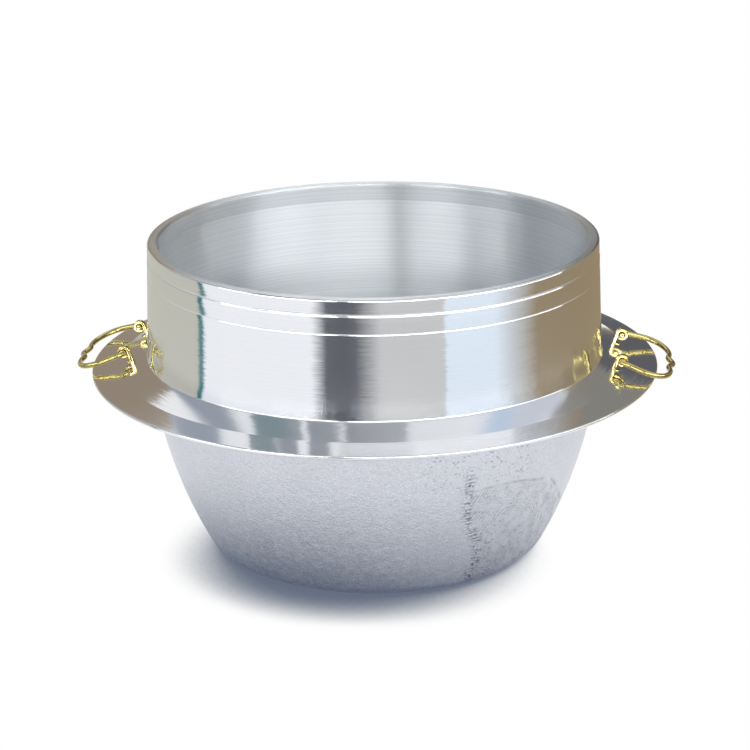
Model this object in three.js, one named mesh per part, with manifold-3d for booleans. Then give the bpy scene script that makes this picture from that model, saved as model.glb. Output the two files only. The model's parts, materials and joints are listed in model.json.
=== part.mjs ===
// A flanged rice pot: a cast and turned aluminium pot with two swinging brass bails on its flange.
// Millimetres, +Z up. The origin is the centre of the flat base. The bails lie along +X and -X, the front is -Y.
import * as THREE from "three";
import { mergeVertices } from "three/addons/utils/BufferGeometryUtils.js";
import Module from "manifold-3d";

const wasm = await Module();
wasm.setup();

const degrees = THREE.MathUtils.degToRad;

// Pot: overall sizes and wall
const POT_HEIGHT = 213;
const RIM_RADIUS = 150;
const WALL = 4.2;

// Collar: the straight turned band above the flange
const COLLAR_HEIGHT = 77.7;
const COLLAR_FLARE = 2.8; // how much wider the collar is at the flange than at the rim
const LIP_THICKNESS = 7.3;
const LIP_DEPTH = 13.5; // height of the thick lip inside the rim
const LIP_ROUND = 1.6;
const GROOVE_DROP = 10.1; // depth of each turned groove below the rim
const GROOVE_WIDTH = 2;
const GROOVE_DEPTH = 0.9;
const FINE_GROOVE_DROP = 22.1;
const FINE_GROOVE_WIDTH = 1.2;
const FINE_GROOVE_DEPTH = 0.4;

// Flange: a steep inner cone and a flatter outer one
const FLANGE_INNER_WIDTH = 19.2;
const FLANGE_INNER_DROP = 6.2;
const FLANGE_OUTER_WIDTH = 18;
const FLANGE_OUTER_DROP = 2.5;
const FLANGE_THICKNESS = 3.4; // measured straight down
const FLANGE_EDGE = 2.4;
const FLANGE_EDGE_ROUND = 1;
const FLANGE_TOP_FILLET = 1.2;
const FLANGE_UNDER_FILLET = 6;

// Bowl: the cast part below the flange
const BOWL_INSET = 0.6; // how far the bowl's top lies inside the collar's foot
const BOWL_TOP_SLOPE = degrees(5.7); // lean of the side from the vertical
const BOWL_FOOT_SLOPE = degrees(28);
const BASE_INSET = 51.2; // how far the base's flat lies inside the collar's foot
const BASE_CORNER = 16.3;

// Lugs: riveted eyes that hold the bails
const LUG_STANDOFF = 12.2; // from the collar's foot out to the middle of a lug's seat
const LUG_OFFSET = 28.5; // from the bail's middle line to each lug
const LUG_FOOT_RADIUS = 3.3;
const LUG_FOOT_HEIGHT = 0.9;
const LUG_FOOT_ROUND = 0.4;
const LUG_NECK_RADIUS = 2;
const LUG_NECK_FILLET = 0.8;
const LUG_SHANK_RADIUS = 1.8;
const EYE_HEIGHT = 7.2; // from the seat up to the bail's axis
const EYE_SHIFT = 1.5; // from the stem's axis out to the bail's axis
const EYE_RADIUS = 3.9;
const EYE_WIDTH = 4.4;
const EYE_ROUND = 1.2;
const PEEN_RADIUS = 3.4;
const PEEN_HEIGHT = 1.7;

// Washers under the flange
const WASHER_RADIUS = 4.9;
const WASHER_THICKNESS = 1.2;
const WASHER_ROUND = 0.3;

// Bails: bent wire, drawn from the turned-in end to the point in the middle
const WIRE_RADIUS = 1.85;
const PIVOT_PROUD = 1.2; // how far the wire's end stands out of the eye
const ELBOW_GAP = 0.5; // from the eye to the start of the elbow
const ELBOW_RADIUS = 3.2;
const LEG_LENGTH = 18;
const LEG_FLARE = 3.6; // how much further out a leg ends than its elbow
const BAR_REACH = 33.6; // from the axis of the eyes to the bar
const BAR_END = 17;
const DIP_DEPTH = 0.8; // how far the bar draws in on each side of its point
const DIP_END = 10;
const POINT_RISE = 2.2;
const BAIL_LIFT = degrees(6.2); // how far the bails stand off the flange's edge

// Fits
const FIT_GAP = 0.3; // between pieces that seat on or run in each other
const SPOT_DEPTH = 0.3; // spot faces that give the lugs and washers flat seats
const SPOT_MARGIN = 0.5;

// Facets
const POT_SIDES = 68;
const SMALL_SIDES = 16;
const WIRE_SIDES = 8;
const BAIL_STEPS = 88;
const SIDE_STEPS = 6;
const CORNER_STEPS = 4;
const ROUND_STEPS = 3;
const SMALL_ROUND_STEPS = 2;
const WELD = 1e-4;

const aluminium = { color: 0xb9bcc2, roughness: 0.35, metalness: 1 };
const brass = { color: 0xc9a63c, roughness: 0.2, metalness: 1 };

const at = (r, z) => new THREE.Vector2(r, z);

// Points on an arc of the profile plane, both ends included.
function arc(centre, radius, from, to, steps) {
  return Array.from({ length: steps + 1 }, (_, i) => {
    const angle = THREE.MathUtils.lerp(from, to, i / steps);
    return at(Math.cos(angle), Math.sin(angle)).multiplyScalar(radius).add(centre);
  });
}

// The points that round the corner between two straight runs, taking at most half of each run.
function fillet(before, corner, after, wanted, steps = ROUND_STEPS) {
  const back = before.clone().sub(corner).normalize();
  const ahead = after.clone().sub(corner).normalize();
  const half = Math.acos(back.dot(ahead)) / 2;
  const room = Math.min(before.distanceTo(corner), after.distanceTo(corner)) / 2;
  const run = Math.min(wanted / Math.tan(half), room);
  const radius = run * Math.tan(half);
  const centre = back.clone().add(ahead).normalize();
  centre.multiplyScalar(radius / Math.sin(half)).add(corner);
  const start = back.multiplyScalar(run).add(corner).sub(centre).angle();
  const end = ahead.multiplyScalar(run).add(corner).sub(centre).angle();
  const sweep = THREE.MathUtils.euclideanModulo(end - start + Math.PI, 2 * Math.PI) - Math.PI;
  return arc(centre, radius, start, start + sweep, steps);
}

// The inner control points of a cubic that leaves one point and reaches the next as an arc would.
function pulls(from, fromAim, to, toAim) {
  const pull = from.distanceTo(to) / (3 * Math.cos(fromAim.angleTo(toAim) / 4) ** 2);
  return [from.clone().addScaledVector(fromAim, pull), to.clone().addScaledVector(toAim, -pull)];
}

// A closed surface turned from a profile of radius and height, with its axis along Z.
function turned(profile, sides) {
  return new THREE.LatheGeometry(profile, sides).rotateX(Math.PI / 2);
}

// A closed geometry as a solid for joining and cutting.
function solid(geometry) {
  const bare = geometry.clone();
  bare.deleteAttribute("normal");
  bare.deleteAttribute("uv");
  const welded = mergeVertices(bare, WELD);
  const corners = [];
  for (let i = 0; i < welded.index.count; i += 3) {
    const [a, b, c] = welded.index.array.subarray(i, i + 3);
    if (a !== b && b !== c && c !== a) corners.push(a, b, c);
  }
  return new wasm.Manifold(
    new wasm.Mesh({
      numProp: 3,
      vertProperties: welded.attributes.position.array,
      triVerts: new Uint32Array(corners),
    }),
  );
}

function geometryOf(body) {
  const made = body.getMesh();
  const geometry = new THREE.BufferGeometry();
  geometry.setAttribute("position", new THREE.BufferAttribute(made.vertProperties, 3));
  geometry.setIndex(new THREE.BufferAttribute(made.triVerts, 1));
  geometry.computeVertexNormals();
  return geometry;
}

function named(name, geometry, finish) {
  const mesh = new THREE.Mesh(geometry, new THREE.MeshStandardMaterial(finish));
  mesh.name = name;
  return mesh;
}

// Key points of the pot's outside
const rootRadius = RIM_RADIUS + COLLAR_FLARE;
const root = at(rootRadius, POT_HEIGHT - COLLAR_HEIGHT);
const crease = at(root.x + FLANGE_INNER_WIDTH, root.y - FLANGE_INNER_DROP);
const edge = at(crease.x + FLANGE_OUTER_WIDTH, crease.y - FLANGE_OUTER_DROP);
const flangeLean = Math.atan2(FLANGE_INNER_DROP, FLANGE_INNER_WIDTH);
const collarRadius = (drop) => RIM_RADIUS + (COLLAR_FLARE * drop) / COLLAR_HEIGHT;

// The bowl's side: one curve from the base's corner to the flange, set by its slope at both ends.
const cornerCentre = at(rootRadius - BASE_INSET, BASE_CORNER);
const bowlFoot = arc(cornerCentre, BASE_CORNER, -Math.PI / 2, -BOWL_FOOT_SLOPE, CORNER_STEPS).at(-1);
const bowlTop = at(rootRadius - BOWL_INSET, root.y - FLANGE_THICKNESS);
const upward = (slope) => at(Math.sin(slope), Math.cos(slope));
const bowlPulls = pulls(bowlFoot, upward(BOWL_FOOT_SLOPE), bowlTop, upward(BOWL_TOP_SLOPE));
const bowlSide = new THREE.CubicBezierCurve(bowlFoot, ...bowlPulls, bowlTop);

// The bowl's side, or the same curve moved in by a depth, from the foot up.
function bowlPoints(depth) {
  return Array.from({ length: SIDE_STEPS + 1 }, (_, i) => {
    const along = bowlSide.getTangent(i / SIDE_STEPS);
    return bowlSide.getPoint(i / SIDE_STEPS).add(at(-along.y, along.x).multiplyScalar(depth));
  });
}

function groove(drop, width, depth) {
  return [
    at(collarRadius(drop + width / 2), POT_HEIGHT - drop - width / 2),
    at(collarRadius(drop) - depth, POT_HEIGHT - drop),
    at(collarRadius(drop - width / 2), POT_HEIGHT - drop + width / 2),
  ];
}

// The profile runs out along the base, up the outside, over the rim and down the inside.
function potProfile() {
  const creaseUnder = at(crease.x, crease.y - FLANGE_THICKNESS);
  const edgeUnder = at(edge.x, edge.y - FLANGE_EDGE);
  const side = bowlPoints(0);
  const rimOuter = at(RIM_RADIUS, POT_HEIGHT);
  const rimInner = at(RIM_RADIUS - LIP_THICKNESS, POT_HEIGHT);
  const lipFoot = at(collarRadius(LIP_DEPTH) - WALL, POT_HEIGHT - LIP_DEPTH);
  return [
    at(0, 0),
    ...arc(cornerCentre, BASE_CORNER, -Math.PI / 2, -BOWL_FOOT_SLOPE, CORNER_STEPS),
    ...side.slice(1, -1),
    ...fillet(side.at(-2), bowlTop, creaseUnder, FLANGE_UNDER_FILLET),
    creaseUnder,
    ...fillet(creaseUnder, edgeUnder, edge, FLANGE_EDGE_ROUND),
    ...fillet(edgeUnder, edge, crease, FLANGE_EDGE_ROUND),
    crease,
    ...fillet(crease, root, rimOuter, FLANGE_TOP_FILLET),
    ...groove(FINE_GROOVE_DROP, FINE_GROOVE_WIDTH, FINE_GROOVE_DEPTH),
    ...groove(GROOVE_DROP, GROOVE_WIDTH, GROOVE_DEPTH),
    ...fillet(root, rimOuter, rimInner, LIP_ROUND),
    ...fillet(rimOuter, rimInner, lipFoot, LIP_ROUND),
    lipFoot,
    at(rootRadius - WALL, root.y),
    ...bowlPoints(WALL).reverse(),
    ...arc(cornerCentre, BASE_CORNER - WALL, -BOWL_FOOT_SLOPE, -Math.PI / 2, CORNER_STEPS).slice(1),
    at(0, WALL),
  ];
}

// Heights along a lug's own axis, measured from the flange's surface at the middle of its seat
const gripDepth = FLANGE_THICKNESS * Math.cos(flangeLean);
const lugSeat = -SPOT_DEPTH;
const washerSeat = SPOT_DEPTH - gripDepth;
const footBottom = lugSeat + FIT_GAP;
const washerTop = washerSeat - FIT_GAP;
const peenTop = washerTop - WASHER_THICKNESS - FIT_GAP;
const peenBottom = peenTop - PEEN_HEIGHT;
const shankBore = LUG_SHANK_RADIUS + FIT_GAP;
const eyeBore = WIRE_RADIUS + FIT_GAP;

// The middle of a lug's seat on the flange, and the bail's axis above it
const seatRadius = rootRadius + LUG_STANDOFF;
const seatX = Math.sqrt(seatRadius ** 2 - LUG_OFFSET ** 2);
const seatHeight = root.y - (seatRadius - rootRadius) * Math.tan(flangeLean);
const eyeOut = at(EYE_SHIFT, EYE_HEIGHT).rotateAround(at(0, 0), -flangeLean);
const pivotX = seatX + eyeOut.x;
const pivotZ = seatHeight + eyeOut.y;

// A short cylinder along Z between two heights.
function plug(radius, bottom, top) {
  const profile = [at(0, bottom), at(radius, bottom), at(radius, top), at(0, top)];
  return turned(profile, SMALL_SIDES);
}

// The hole for one lug's shank, with a spot face above and below the flange.
function lugCut() {
  const above = footBottom + LUG_FOOT_HEIGHT;
  const below = peenBottom - FIT_GAP;
  return solid(plug(shankBore, below, above))
    .add(solid(plug(LUG_FOOT_RADIUS + SPOT_MARGIN, lugSeat, above)))
    .add(solid(plug(WASHER_RADIUS + SPOT_MARGIN, below, washerSeat)));
}

// One lug: foot, neck, shank and domed peened end turned in one, with a rounded eye across its top.
function lugGeometry() {
  const footTop = footBottom + LUG_FOOT_HEIGHT;
  const footRim = at(LUG_FOOT_RADIUS, footTop);
  const neckFoot = at(LUG_NECK_RADIUS, footTop);
  const neckTop = at(LUG_NECK_RADIUS, EYE_HEIGHT);
  const domeRadius = (PEEN_RADIUS ** 2 + PEEN_HEIGHT ** 2) / (2 * PEEN_HEIGHT);
  const domeCentre = at(0, peenBottom + domeRadius);
  const domeEdge = -Math.acos(PEEN_RADIUS / domeRadius);
  const stem = [
    ...arc(domeCentre, domeRadius, -Math.PI / 2, domeEdge, ROUND_STEPS),
    at(LUG_SHANK_RADIUS, peenTop),
    at(LUG_SHANK_RADIUS, footBottom),
    at(LUG_FOOT_RADIUS, footBottom),
    ...fillet(at(LUG_FOOT_RADIUS, footBottom), footRim, neckFoot, LUG_FOOT_ROUND, SMALL_ROUND_STEPS),
    ...fillet(footRim, neckFoot, neckTop, LUG_NECK_FILLET, SMALL_ROUND_STEPS),
    neckTop,
    at(0, neckTop.y),
  ];
  const near = at(0, -EYE_WIDTH / 2);
  const far = at(0, EYE_WIDTH / 2);
  const bead = [
    near,
    ...fillet(near, at(EYE_RADIUS, near.y), at(EYE_RADIUS, far.y), EYE_ROUND, SMALL_ROUND_STEPS),
    ...fillet(at(EYE_RADIUS, near.y), at(EYE_RADIUS, far.y), far, EYE_ROUND, SMALL_ROUND_STEPS),
    far,
  ];
  const bore = [at(0, -EYE_WIDTH), at(eyeBore, -EYE_WIDTH), at(eyeBore, EYE_WIDTH), at(0, EYE_WIDTH)];
  // Both lie across the stem, on the bail's axis.
  const across = (profile) =>
    solid(new THREE.LatheGeometry(profile, SMALL_SIDES).translate(EYE_SHIFT, 0, EYE_HEIGHT));
  return geometryOf(solid(turned(stem, SMALL_SIDES)).add(across(bead)).subtract(across(bore)));
}

function washerGeometry() {
  const washerBottom = washerTop - WASHER_THICKNESS;
  const bottomEdge = at(WASHER_RADIUS, washerBottom);
  const topEdge = at(WASHER_RADIUS, washerTop);
  const profile = [
    at(shankBore, washerBottom),
    ...fillet(at(shankBore, washerBottom), bottomEdge, topEdge, WASHER_ROUND, 1),
    topEdge,
    at(shankBore, washerTop),
    at(shankBore, washerBottom),
  ];
  return turned(profile, SMALL_SIDES);
}

// Half the bail's width where its elbows start, and where its legs end
const elbowStart = LUG_OFFSET + EYE_WIDTH / 2 + ELBOW_GAP;
const legSpread = elbowStart + ELBOW_RADIUS + LEG_FLARE;

// The wire's path in the bail's plane: X away from the pot, Y along the axis of the eyes.
function bailPath() {
  const point = (x, y) => new THREE.Vector3(x, y, 0);
  const out = point(1, 0);
  const outward = point(0, 1);
  const inward = point(0, -1);
  const end = point(0, LUG_OFFSET - EYE_WIDTH / 2 - PIVOT_PROUD);
  const bendFrom = point(0, elbowStart);
  const bendTo = point(ELBOW_RADIUS, elbowStart + ELBOW_RADIUS);
  const legEnd = point(LEG_LENGTH, legSpread);
  const bar = point(BAR_REACH, BAR_END);
  const dip = point(BAR_REACH - DIP_DEPTH, DIP_END);
  const tip = point(BAR_REACH + POINT_RISE, 0);
  const curve = (from, fromAim, to, toAim) =>
    new THREE.CubicBezierCurve3(from, ...pulls(from, fromAim, to, toAim), to);
  const half = [
    curve(end, outward, bendFrom, outward),
    curve(bendFrom, outward, bendTo, out),
    curve(bendTo, out, legEnd, out),
    curve(legEnd, out, bar, inward),
    curve(bar, inward, dip, inward),
    curve(dip, inward, tip, inward),
  ];
  const mirrored = (p) => point(p.x, -p.y);
  const path = new THREE.CurvePath();
  for (const c of half) path.add(c);
  for (const c of half.toReversed()) {
    path.add(new THREE.CubicBezierCurve3(mirrored(c.v3), mirrored(c.v2), mirrored(c.v1), mirrored(c.v0)));
  }
  return path;
}

function bailGeometry() {
  const section = new THREE.Shape(arc(at(0, 0), WIRE_RADIUS, 0, 2 * Math.PI, WIRE_SIDES).slice(1));
  return new THREE.ExtrudeGeometry(section, {
    steps: BAIL_STEPS,
    extrudePath: bailPath(),
    bevelEnabled: false,
  });
}

// The angle below the level at which a bail's legs lie on the flange's edge.
function bailLowest() {
  const roundRadius = edge.x - FLANGE_EDGE_ROUND;
  const roundX = Math.sqrt(roundRadius ** 2 - legSpread ** 2) - pivotX;
  const roundDrop = pivotZ - (edge.y - FLANGE_EDGE_ROUND);
  const clear = WIRE_RADIUS + FIT_GAP + FLANGE_EDGE_ROUND;
  return Math.atan2(roundDrop, roundX) - Math.asin(clear / Math.hypot(roundX, roundDrop));
}

const pot = new THREE.Group();
let body = solid(turned(potProfile(), POT_SIDES));

for (const [side, turn] of [["right", 0], ["left", Math.PI]]) {
  const handle = new THREE.Group();
  handle.rotation.z = turn;
  pot.add(handle);

  const bail = named(`bail_${side}`, bailGeometry(), brass);
  bail.position.set(pivotX, 0, pivotZ);
  bail.rotation.y = bailLowest() - BAIL_LIFT;
  handle.add(bail);

  for (const flank of [-1, 1]) {
    const place = (flank < 0) === (side === "right") ? "front" : "rear";
    const seat = new THREE.Group();
    seat.position.set(seatX, flank * LUG_OFFSET, seatHeight);
    seat.rotation.y = flangeLean;
    seat.add(named(`lug_${side}_${place}`, lugGeometry(), brass));
    seat.add(named(`washer_${side}_${place}`, washerGeometry(), brass));
    handle.add(seat);
    seat.updateWorldMatrix(true, false);
    body = body.subtract(lugCut().transform(seat.matrixWorld.toArray()));
  }
}

pot.add(named("pot_body", geometryOf(body), aluminium));

export default pot;
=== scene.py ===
"""Flanged rice pot: a cast and turned aluminium pot with two swinging brass bails, around its CAD frame.

Metres, in the frame's axes: +Z up, +X towards the right bail, -Y to the front.
The file is laid out as an add-on and run as a script.
"""

import json
import math

import bmesh
import bpy
from mathutils import Matrix, Vector, noise


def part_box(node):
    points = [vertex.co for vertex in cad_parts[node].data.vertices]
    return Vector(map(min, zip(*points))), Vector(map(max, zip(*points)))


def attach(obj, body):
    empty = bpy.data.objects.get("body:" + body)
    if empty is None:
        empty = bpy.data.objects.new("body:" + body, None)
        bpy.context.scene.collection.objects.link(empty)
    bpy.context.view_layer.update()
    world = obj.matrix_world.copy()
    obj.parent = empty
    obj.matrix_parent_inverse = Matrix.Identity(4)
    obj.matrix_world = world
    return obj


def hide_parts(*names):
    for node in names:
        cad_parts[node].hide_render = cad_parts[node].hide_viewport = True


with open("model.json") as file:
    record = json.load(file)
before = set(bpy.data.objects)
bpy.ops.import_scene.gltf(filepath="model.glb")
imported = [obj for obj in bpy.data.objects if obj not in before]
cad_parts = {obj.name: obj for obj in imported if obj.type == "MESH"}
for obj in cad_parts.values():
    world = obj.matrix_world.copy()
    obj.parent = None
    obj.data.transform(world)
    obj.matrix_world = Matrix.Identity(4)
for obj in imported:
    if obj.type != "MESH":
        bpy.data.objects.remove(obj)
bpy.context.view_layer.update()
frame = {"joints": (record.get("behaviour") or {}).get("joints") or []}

MM = 0.001
TINY = 1e-6
POT_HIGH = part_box("pot_body")[1]
PIVOT = Vector(next(j for j in frame["joints"] if j["child"] == "bail_right")["pos_m"])
SIDES = ("right", "left")
PLACES = ("front", "rear")
MARK_SHADE = "casting_mark_shade"  # attribute of the pot's mesh: painted shade in the hollows of its casting marks, from 0 to 1
MARKS_SEED = 5  # the vector noise that bends the marks differs from run to run without one
SIDE_REFLECTION = "painted_side_reflection"  # attribute of a bail's mesh for the painted dark reflection along its wire: 1 along the wire's sides, 0 on top and below

bl_info = {
    "name": "Flanged Rice Pot",
    "version": (1, 0, 0),
    "blender": (4, 5, 0),
    "location": "View3D > Sidebar > Rice Pot",
    "description": "Adds a cast aluminium rice pot with brass bails, and a small studio to see it in",
    "category": "Add Mesh",
}

# Mesh fineness
FRONT_COLUMNS = math.radians(0.22)  # width of a column of faces where the casting shows its marks
BACK_COLUMNS = math.radians(1.0)
FINE_FROM = math.radians(-42)  # azimuths are measured from the front, -Y, towards +X
FINE_TO = math.radians(76)
BOWL_ROW = 0.55 * MM
PLAIN_ROW = 8.0 * MM
INSIDE_ROWS = 24
CORNER_STEPS = 12
INSIDE_STEPS = 10
ROUND_STEPS = 6
CREASE_STEPS = 4
UNDER_ROWS = 12  # rows of the bowl's side that give the fillet below the flange its slope and room
WIRE_SIDES = 24
WIRE_ROW = 0.7 * MM
WIRE_LEAST = 6  # least rows of faces between two stations of the wire
WIRE_END_ROWS = 5
WIRE_END_TURN = math.radians(81)
WIRE_END_ROUND = 0.5
STRAP_ROW = 0.5 * MM
STRAP_STEPS = 3
EYE_STEPS = 28
SMALL_SIDES = 64
LUG_VOXEL = 0.17 * MM
LUG_SMOOTHING = 4
DISC_SIDES = 128
PANEL_COLUMN = math.radians(2)

# Casting marks on the bowl: azimuths in degrees, other sizes in millimetres along the bowl and up
PIT_CELL = (1.5, 1.3)
PIT_LIMITS = (0.05, 0.4)  # noise values where a pit starts and where it is full
DEEP_PIT_LIMITS = (0.42, 0.56)
PATCH_CELL = 7
WARP_CELL = 14
DRIFT_CELL = 24
WAVER_CELL = 9
SOFT_EDGE = 8
SOFT_SIDE = 6
LAP_AZIMUTH = 29.5
LAP_TURN = 7  # how much further to the right its lower end lies
LAP_TURN_HEIGHTS = (72, 22)  # between which it turns
LAP_HEIGHTS = (4, 92)
LAP_WAVER = 1.4
LAP_WIDTH = 3.6
LAP_PIT_DEPTH = 0.28
FOLD_STEP = 2.3
FOLD_RELIEF = 0.14
FRONT_MIDDLE = (100, 34)
FRONT_RADII = (68, 46)
FRONT_SIZE = 50  # distance that counts as one radius of the oval front
FRONT_WAVER = 6
FRONT_WIDTH = 1.1
FRONT_DEPTH = 0.1
SWIRL_MIDDLE = (114, 44)
SWIRL_SQUASH = 1.3
SWIRL_WAVER = 13
RIPPLE_STEP = 2.2
RIPPLE_RELIEF = 0.075
RIPPLE_PITS = 0.07
SCATTER_AZIMUTHS = (20, 46)
SCATTER_HEIGHTS = (86, 112)
SCATTER_DEPTH = 0.3
ROUGH_SPOTS = ((-29, 37, 5, 8, 1.0), (-15, 45, 3.5, 6, 0.6))  # azimuth, height, both half widths, strength
ROUGH_RELIEF = 0.12
SMOOTH_FOOT = 2 * MM  # height of the bowl's foot that has no marks

# Metals: noise scales are counts per metre
CAST, COLLAR, FLANGE, INSIDE, FLOOR = range(5)  # material slots of the pot
LATHE_LINES = 2600
LATHE_CUTS = 1100
LATHE_BANDS = 190
LATHE_SMEARS = 14
QUARTER_TURN = 0.25
LATHE_SWAY = 0.012  # slope by which short streaks tilt the shading
STREAK_SCALE = 60
STREAK_STRETCH = 24
FINE_LINES = 0.004 * MM
COARSE_LINES = 0.012 * MM
CAST_GRAIN = 850
CAST_MOTTLE = 220
CAST_STAINS = 22
CAST_DARK = 0.74
CAST_RELIEF = 0.35 * MM
# colour of the painted shade in the casting marks' hollows
HOLLOW_SHADE = (0.17, 0.19, 0.24)
BRASS_MARKS = 420
BRASS_TARNISH = 90
BRASS_RELIEF = 0.008 * MM
TARNISHED = (0.86, 0.82, 0.7)  # share of the brass's colour that tarnish leaves
SIDE_REFLECTION_SHARE = (0.36, 0.35, 0.26)  # and that the painted dark reflection along a wire's sides leaves
SIDE_REFLECTION_FROM = 0.7  # value of the side attribute where the painted dark reflection starts
SIDE_REFLECTION_MOST = 0.85
WASHER_ROUGHNESS = 0.35

# Studio colours
FLOOR_WHITE = (0.86, 0.87, 0.88)
CONTACT_SHADE = (0.13, 0.16, 0.22)
WHITE_FLAT = (0.96, 0.97, 1.00)
SHADE = (0.115, 0.12, 0.14)
GREY_FLAT = (0.62, 0.62, 0.62)
WINDOW = (0.81, 0.90, 1.00)
WARM_WALL = (0.33, 0.26, 0.16)
SIDE_WALL = (0.58, 0.57, 0.50)
DARK_WALL = (0.12, 0.12, 0.13)
SHELF = (0.25, 0.24, 0.215)
BROWN_WALL = (0.32, 0.26, 0.20)
CEILING = (0.42, 0.44, 0.46)
DARK_CEILING = (0.25, 0.26, 0.27)
PALE_CEILING = (0.70, 0.73, 0.80)
TEAL = (0.02, 0.19, 0.19)
GREY_BEAM = (0.36, 0.40, 0.46)
TEAL_BEAM = (0.24, 0.31, 0.33)
DARK_BEAM = (0.31, 0.33, 0.36)
WINDOW_SKY = (0.58, 0.71, 0.88)
ROOF_GREY = (0.64, 0.66, 0.68)

# The floor's shade: which way the light leans, and how much open sky counts as full shade and as none
CAMERA_LEAN = Vector((0.42, 1.36, 1))
CAMERA_SHADE = (0.3, 0.59)
MIRRORED_LEAN = Vector((0.3, 0.6, 1))
MIRRORED_SHADE = (0.25, 0.88)
SHADE_SAMPLES = 24

# Studio flats that the metal mirrors, around the pot and out of view. Each has its edges in degrees to the
# right of the camera, its lowest and highest elevation in degrees, its colour at both edges, and how many
# degrees the edges lean, if they do.
ACROSS = "across"  # attribute of a flat's mesh: 0 at its left edge, 1 at its right one
LOW = -40  # elevation of the flats' lower edges
TOP = 62  # elevation of the roof
FLATS = [
    ("flat_side", -168, -95, LOW, 4, SIDE_WALL, SIDE_WALL),
    ("flat_side_top", -150, -95, 4, 18, SIDE_WALL, SIDE_WALL),
    ("flat_side_edge", -95, -91.5, LOW, 18, TEAL, TEAL),
    ("flat_side_high", -150, -96, 18, 26, BROWN_WALL, CEILING),
    ("flat_white", -91.5, -30, LOW, 14, WHITE_FLAT, WHITE_FLAT),
    ("flat_white_edge", -30, -23, LOW, 14, WHITE_FLAT, SHADE),
    ("flat_shade", -23, -9, LOW, 14, SHADE, SHADE),
    ("flat_shade_edge", -9, 3, LOW, 14, SHADE, GREY_FLAT),
    ("flat_grey", 3, 34, LOW, 14, GREY_FLAT, GREY_FLAT),
    ("flat_window", 34, 60, LOW, 14, WINDOW, WINDOW),
    ("flat_warm_edge", 60, 86, LOW, 14, WINDOW, WARM_WALL),
    ("flat_warm", 86, 166, LOW, 4, WARM_WALL, WARM_WALL),
    ("flat_warm_top", 86, 150, 4, 18, WARM_WALL, WARM_WALL),
    ("flat_warm_high", 78, 150, 18, 36, CEILING, WARM_WALL),
    ("flat_back_left", -178, -150, 4, 32, BROWN_WALL, BROWN_WALL),
    ("flat_back_right", 150, 178, 4, 22, DARK_WALL, DARK_WALL),
    ("flat_back_right_high", 150, 178, 22, 44, SHELF, SHELF),
    ("flat_beam_left", -150, -91.5, 27, TOP, GREY_BEAM, GREY_BEAM, 0, -14.5),
    ("flat_beam_teal", -67, -55, 27, TOP, TEAL_BEAM, TEAL_BEAM, -38, -2),
    ("flat_beam_wedge", -54, -40, 27, TOP, DARK_BEAM, DARK_BEAM, -2.5, -16.2),
    ("flat_beam_middle", -33, -25, 27, TOP, DARK_BEAM, DARK_BEAM, -20, 0),
    ("flat_ceiling_middle", -21, 21, 42, TOP, DARK_CEILING, CEILING),
    ("flat_ceiling_window", 76, 95, 42, TOP, WINDOW_SKY, WINDOW_SKY),
    ("flat_ceiling_right", 95, 150, 37, TOP, PALE_CEILING, PALE_CEILING),
]

# Soft lamps above the front flats: degrees to the right of the camera, width in metres, and brightness
LAMP_ELEVATION = math.radians(19)
LAMP_DISTANCE = 3.0
LAMP_HEIGHT = 0.42
LAMPS = [
    ("far_left_softbox", -66, 1.4, 4.5),
    ("left_softbox", -35, 1.7, 10.5),
    ("middle_softbox", 7, 1.95, 11.5),
    ("right_softbox", 47, 2.4, 11),
    ("far_right_softbox", 88, 1.9, 4),
]
SENSOR_WIDTH = 36  # of the camera, in millimetres


# Properties


def length(name, description, millimetres):
    """A size property, given here in millimetres."""
    return bpy.props.FloatProperty(
        name=name, description=description, default=millimetres * MM, min=0.0, precision=5, unit="LENGTH"
    )


def turn(name, description, degrees):
    """An angle property, given here in degrees."""
    return bpy.props.FloatProperty(
        name=name, description=description, default=math.radians(degrees), subtype="ANGLE"
    )


def colour(name, description, value):
    """A colour property."""
    return bpy.props.FloatVectorProperty(
        name=name, description=description, default=value, size=3, min=0.0, max=1.0, subtype="COLOR"
    )


def share(name, description, value):
    """A property from 0 to 1."""
    return bpy.props.FloatProperty(
        name=name, description=description, default=value, min=0.0, max=1.0, subtype="FACTOR"
    )


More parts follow.
